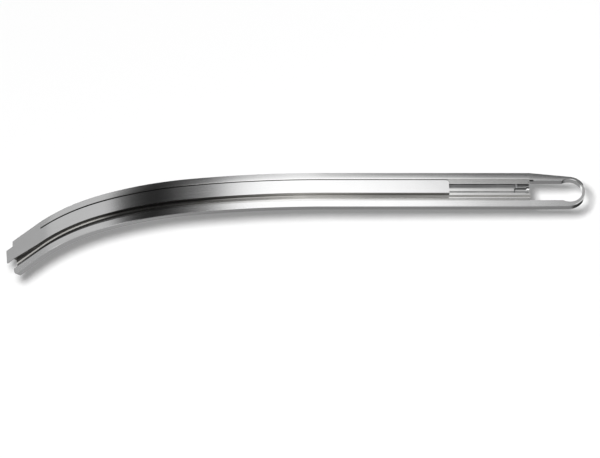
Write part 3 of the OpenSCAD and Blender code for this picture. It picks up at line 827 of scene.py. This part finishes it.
def catch_object():
    """The catch, with its grooved top painted near black as shade, its round heel and its hook with
    a painted highlight.
    """
    tip, back = CATCH_STATIONS
    hook_x = on_strip(tip + HOOK_HIGHLIGHT, 0, 0).x
    heel = [
        (PIVOT_STATION + HEEL_R * math.cos(a), PIVOT_D + HEEL_R * math.sin(a))
        for a in (math.radians(t) for t in range(0, 181, 15))
    ]
    upper = [
        (back, CATCH_TOP + BACK_CUT), (back - BACK_CUT, CATCH_TOP), (tip + HOOK_FOOT, CATCH_TOP),
        (tip + HOOK_LEN, HOOK_TOP), (tip + TIP_CUT_W, HOOK_TOP), (tip, HOOK_TOP + TIP_CUT_D),
        (tip, ARM_LOW - ARM_CUT), (tip + ARM_CUT, ARM_LOW), (PIVOT_STATION - ARM_SHORT, ARM_LOW),
    ]
    grooved = [(s, d + GROOVE_D - CATCH_TOP if d < TOP_LIMIT else d) for s, d in upper]
    mesh = bpy.data.meshes.new("catch")
    bm = bmesh.new()
    uv = bm.loops.layers.uv.new("strip")
    # Three blocks across: the middle one, the groove, takes the near-black painted shade
    for outline, far, near, look in (
        (upper + heel[::-1], GROOVE_NEAR, CATCH_NEAR, 0),
        (grooved + heel[::-1], GROOVE_FAR, GROOVE_NEAR, 1),
        (upper + heel[::-1], CATCH_FAR, GROOVE_FAR, 0),
    ):
        sides = [[bm.verts.new(on_strip(s, a, d)) for s, d in outline] for a in (far, near)]
        for k in range(len(outline)):
            n = (k + 1) % len(outline)
            face = bm.faces.new((sides[0][k], sides[0][n], sides[1][n], sides[1][k]))
            face.material_index = look
        for side in sides:
            bm.faces.new(side).material_index = look
    bmesh.ops.recalc_face_normals(bm, faces=bm.faces)
    # Upward faces beyond hook_x take the painted highlight
    for face in bm.faces:
        middle = face.calc_center_median()
        if face.material_index == 0 and middle.x > hook_x and face.normal.z > UPWARD:
            face.material_index = 2
    bmesh.ops.triangulate(bm, faces=[f for f in bm.faces if len(f.verts) > 4])
    for face in bm.faces:
        for loop in face.loops:
            loop[uv].uv = (loop.vert.co.x, loop.vert.co.y + loop.vert.co.z)
    bm.to_mesh(mesh)
    bm.free()
    return settle("catch", mesh, "catch", ("catch_top", "painted_shade_black", "painted_highlight_white"), 30)


catch = catch_object()
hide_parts("catch_lever")

# A copy of the leaf spring under the catch, on the spine's body, in place of the source's spring
leaf = bpy.data.objects.new("catch_leaf", NODES["catch_spring"].data.copy())
bpy.context.scene.collection.objects.link(leaf)
leaf.matrix_world = NODES["catch_spring"].matrix_world.copy()
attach(leaf, "spine")
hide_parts("catch_spring")
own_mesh(leaf)


# ---------------------------------------------------------------- stage
def card(name, corners, material):
    """A flat card of the stage."""
    mesh = bpy.data.meshes.new(name)
    mesh.from_pydata(corners, [], [(0, 1, 2, 3)])
    obj = bpy.data.objects.new(name, mesh)
    bpy.context.scene.collection.objects.link(obj)
    obj.data.materials.append(material)
    obj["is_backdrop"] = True
    return obj


def level(name, x0, x1, y0, y1, z, material):
    """A level card."""
    return card(name, [(x0, y0, z), (x1, y0, z), (x1, y1, z), (x0, y1, z)], material)


def only_glossy(obj):
    """Let only reflections see a card."""
    obj.visible_camera = False
    obj.visible_diffuse = False
    obj.visible_transmission = False
    obj.visible_volume_scatter = False
    obj.visible_shadow = False


floor_material, tree, shader = new_material("floor")
shader.inputs["Base Color"].default_value = (0.93, 0.93, 0.93, 1)
shader.inputs["Roughness"].default_value = 0.9
shader.inputs["Specular IOR Level"].default_value = 0.0
# The floor lies below the part, so that the shadow falls clear of it all along, as in the photo
FLOOR_Z = -0.15
FLOOR_HALF = 6.0
level("floor", -FLOOR_HALF, FLOOR_HALF, -FLOOR_HALF, FLOOR_HALF, FLOOR_Z, floor_material)


def glow(name, strength):
    """A material that glows evenly."""
    material = bpy.data.materials.new(name)
    material.use_nodes = True
    tree = material.node_tree
    tree.nodes.clear()
    emission = add(tree, "ShaderNodeEmission", Strength=strength)
    out = add(tree, "ShaderNodeOutputMaterial")
    tree.links.new(emission.outputs["Emission"], out.inputs["Surface"])
    return material, tree, emission


def blended(tree, value, start, end, first, second):
    """One colour that passes into a second as a value goes from start to end."""
    share = add(tree, "ShaderNodeMapRange", interpolation_type="SMOOTHSTEP")
    share.inputs["From Min"].default_value = start
    share.inputs["From Max"].default_value = end
    tree.links.new(value, share.inputs["Value"])
    mix = add(tree, "ShaderNodeMix", data_type="RGBA")
    tree.links.new(share.outputs["Result"], mix.inputs["Factor"])
    tree.links.new(first, mix.inputs["A"])
    tree.links.new(second, mix.inputs["B"])
    return mix.outputs["Result"]


# Studio cards that only reflections see. The ceiling's light changes along X, with a dark flag
# over the bend. Its back rows, which the tilted far rim sees, are darker than its front rows,
# and its near rows, which the near rim sees, have lights and darks of their own. Rows are (X in
# mm, strength).
STEEL_GLOSS = 0.69
CARD_Z = 0.15
CARD_LOW, CARD_HIGH = -0.8, 0.45
CARD_NEAR, CARD_BACK = -0.4, 1.0
FRONT_ROWS = [
    (-800, 0.41), (-375, 0.42), (-229, 0.465), (-146, 0.47), (-136, 0.38), (-120, 0.11),
    (-104, 0.042), (-90, 0.022), (-72, 0.014), (-58, 0.026), (-44, 0.062), (-31, 0.1), (-24, 0.165),
    (-16, 0.275), (-9, 0.51), (-2, 0.71), (8, 0.86), (21, 0.99), (45, 1.0), (76, 0.99), (88, 0.9),
    (100, 0.82), (108, 0.74), (118, 0.56), (131, 0.52), (139, 0.42), (150, 0.35),
    (200, 0.3), (450, 0.3),
]
BACK_ROWS = [
    (-800, 0.41), (-164, 0.46), (-146, 0.46), (-124, 0.19), (-107, 0.09), (-91, 0.036), (-75, 0.02),
    (-60, 0.028), (-46, 0.045), (-31, 0.06), (-24, 0.085), (-17, 0.15), (-9, 0.25), (-1, 0.35),
    (8, 0.46), (20, 0.56), (37, 0.7), (48, 0.7), (55, 0.6), (64, 0.42), (74, 0.31), (87, 0.23),
    (100, 0.18), (112, 0.13), (125, 0.09), (134, 0.09), (150, 0.09), (200, 0.1), (450, 0.1),
]
NEAR_ROWS = [
    (-800, 0.39), (-375, 0.39), (-229, 0.4), (-182, 0.45), (-133, 0.47), (-118, 0.11),
    (-100, 0.024), (-87, 0.014), (-71, 0.012), (-58, 0.026),
    (-44, 0.064), (-31, 0.1), (-24, 0.17), (-16, 0.35),
    (-9, 0.66), (-2, 0.84), (6, 1.0), (88, 1.0), (93, 0.97), (101, 0.91), (106, 0.86), (110, 0.76),
    (114, 0.66), (118, 0.53), (127, 0.52), (135, 0.5), (143, 0.41), (150, 0.34),
    (200, 0.3), (450, 0.3),
]
# The rows part at a line that lies further back towards the nose: its lean and its start
ROWS_LEAN, ROWS_START = -0.15, 0.0015
# Where the front rows pass into the back rows, and into the near rows
BACK_FROM, BACK_TO = 0.092, 0.122
NEAR_FROM, NEAR_TO = 0.079, 0.067

material, tree, emission = glow("ceiling", 1 / STEEL_GLOSS)
split = split_up(tree, "Object")
front, behind, nearer = (
    ramp_of(tree, split["X"], [(x * MM, strength) for x, strength in stops], CARD_LOW, CARD_HIGH)
    for stops in (FRONT_ROWS, BACK_ROWS, NEAR_ROWS)
)
lean = add(tree, "ShaderNodeMath", operation="MULTIPLY_ADD")
lean.inputs[1].default_value = ROWS_LEAN
lean.inputs[2].default_value = ROWS_START
tree.links.new(split["X"], lean.inputs[0])
capped = add(tree, "ShaderNodeMath", operation="MINIMUM")
capped.inputs[1].default_value = 0.0
tree.links.new(lean.outputs[0], capped.inputs[0])
back = add(tree, "ShaderNodeMath", operation="ADD")
tree.links.new(split["Y"], back.inputs[0])
tree.links.new(capped.outputs[0], back.inputs[1])
both = blended(tree, back.outputs[0], BACK_FROM, BACK_TO, front, behind)
rows = blended(tree, back.outputs[0], NEAR_FROM, NEAR_TO, both, nearer)
tree.links.new(rows, emission.inputs["Color"])
only_glossy(level("ceiling", CARD_LOW, CARD_HIGH, CARD_NEAR, CARD_BACK, CARD_Z, material))

# A card beyond the tip, between floor and ceiling
TIP_LIGHT = 0.33
TIP_NEAR, TIP_BACK = -1, 1.2
material, tree, emission = glow("tip_card", TIP_LIGHT / STEEL_GLOSS)
only_glossy(card(
    "tip_card",
    [
        (CARD_LOW, TIP_NEAR, FLOOR_Z), (CARD_LOW, TIP_BACK, FLOOR_Z),
        (CARD_LOW, TIP_BACK, CARD_Z), (CARD_LOW, TIP_NEAR, CARD_Z),
    ],
    material,
))

# A grey flag below the part, in front, for the near walls: nearly black beyond the nose
FLAG_Z, FLAG_BACK, FLAG_HALF = -0.0595, 0.02, 0.3
FLAG = [(-0.3, 0.29), (-0.07, 0.28), (-0.03, 0.21), (0.106, 0.19), (0.116, 0.03), (0.3, 0.03)]
material, tree, emission = glow("front_flag", 1 / STEEL_GLOSS)
flag = ramp_of(tree, split_up(tree, "Object")["X"], FLAG, -FLAG_HALF, FLAG_HALF)
tree.links.new(flag, emission.inputs["Color"])
only_glossy(level("front_flag", -FLAG_HALF, FLAG_HALF, -FLAG_HALF, FLAG_BACK, FLAG_Z, material))

# Camera, glass and reflections see white around the stage; the rest gets a weaker fill
WORLD_FILL = 0.32
world = bpy.data.worlds.new("studio")
bpy.context.scene.world = world
world.use_nodes = True
tree = world.node_tree
background = tree.nodes["Background"]
path = add(tree, "ShaderNodeLightPath")
white = add(tree, "ShaderNodeBackground", Strength=1.0)
white.inputs["Color"].default_value = (1, 1, 1, 1)
background.inputs["Color"].default_value = (1, 1, 1, 1)
background.inputs["Strength"].default_value = WORLD_FILL
seen = add(tree, "ShaderNodeMath", operation="MAXIMUM")
tree.links.new(path.outputs["Is Camera Ray"], seen.inputs[0])
tree.links.new(path.outputs["Is Transmission Ray"], seen.inputs[1])
glossy = add(tree, "ShaderNodeMath", operation="MAXIMUM")
tree.links.new(seen.outputs[0], glossy.inputs[0])
tree.links.new(path.outputs["Is Glossy Ray"], glossy.inputs[1])
mix = add(tree, "ShaderNodeMixShader")
tree.links.new(glossy.outputs[0], mix.inputs["Fac"])
tree.links.new(background.outputs[0], mix.inputs[1])
tree.links.new(white.outputs[0], mix.inputs[2])
tree.links.new(mix.outputs[0], tree.nodes["World Output"].inputs["Surface"])

# The key lamp stands near the camera's line of sight, nearer than the camera: the shadow falls a
# little to the right of the part and below it
KEY_FAR = 4.3
KEY_ACROSS, KEY_UP = -0.05, 0.061
KEY_SIZE = 0.085
KEY_LIGHT = 3.2
key_data = bpy.data.lights.new("key", "AREA")
key_data.shape = "DISK"
key_data.size = KEY_SIZE
key_data.energy = KEY_LIGHT * math.pi * KEY_FAR**2
key = bpy.data.objects.new("key", key_data)
bpy.context.scene.collection.objects.link(key)
key.location = TOWARDS * KEY_FAR + RIGHT * KEY_ACROSS + UP * KEY_UP
key.rotation_mode = "QUATERNION"
key.rotation_quaternion = key.location.to_track_quat("Z", "Y")
key.visible_glossy = False
key.visible_camera = False

bpy.context.scene.view_settings.view_transform = "Standard"

# ---------------------------------------------------------------- image points
bpy.context.view_layer.update()
visible = []
graph = bpy.context.evaluated_depsgraph_get()
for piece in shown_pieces():
    made = piece.evaluated_get(graph)
    visible += [shown(made.matrix_world @ v.co) for v in made.to_mesh().vertices]
    made.to_mesh_clear()

POINTS = {
    "left": (6.3, None), "right": (585.5, None), "top": (None, 172.4), "bottom": (None, 275.0),
}
FEATURES = {
    "nose_far_edge": ((585.5, 190.5), stood(0, WINDOW_Y, 0)),
    "far_edge_60": ((60.0, 210.0), None),
    "far_edge_100": ((100.0, 195.0), None),
    "far_edge_160": ((160.0, 182.3), None),
    "cover_near_corner": ((449.6, 191.6), on_strip(COVER_START, COVER_NEAR, 0)),
    "cover_far_corner": ((449.0, 180.4), on_strip(COVER_START, COVER_FAR, 0)),
    "window_far_corner": ((530.0, 184.0), stood(-WINDOW_START, WINDOW_Y + WINDOW_W / 2, -RIM_T)),
    "window_near_corner": ((531.5, 200.0), stood(-WINDOW_START, WINDOW_Y - WINDOW_W / 2, 0)),
    "window_round_end": ((569.0, 190.0), stood(-NOSE_R, WINDOW_Y, 0)),
    "tongue_far_corner": ((6.3, 250.5), on_strip(END + TONGUE, TONGUE_FAR, 0)),
    "tongue_near_corner": ((7.1, 262.6), on_strip(END + TONGUE, COVER_NEAR - TAPER, 0)),
    "head_far_corner": ((12.3, 240.9), on_strip(END, 0, 0)),
    "catch_hook": ((527.3, 188.8), on_strip(CATCH_STATIONS[0] + 0.5, GROOVE_NEAR + 0.4, HOOK_TOP)),
}
edge_stations = [on_strip(s / 2, 0, 0) for s in range(0, int(2 * END))]
for name, (x, y) in POINTS.items():
    if name in ("left", "right"):
        pick = min if name == "left" else max
        round(pick(v[0] for v in visible) - x, 2)
    else:
        pick = min if name == "top" else max
        round(pick(v[1] for v in visible) - y, 2)
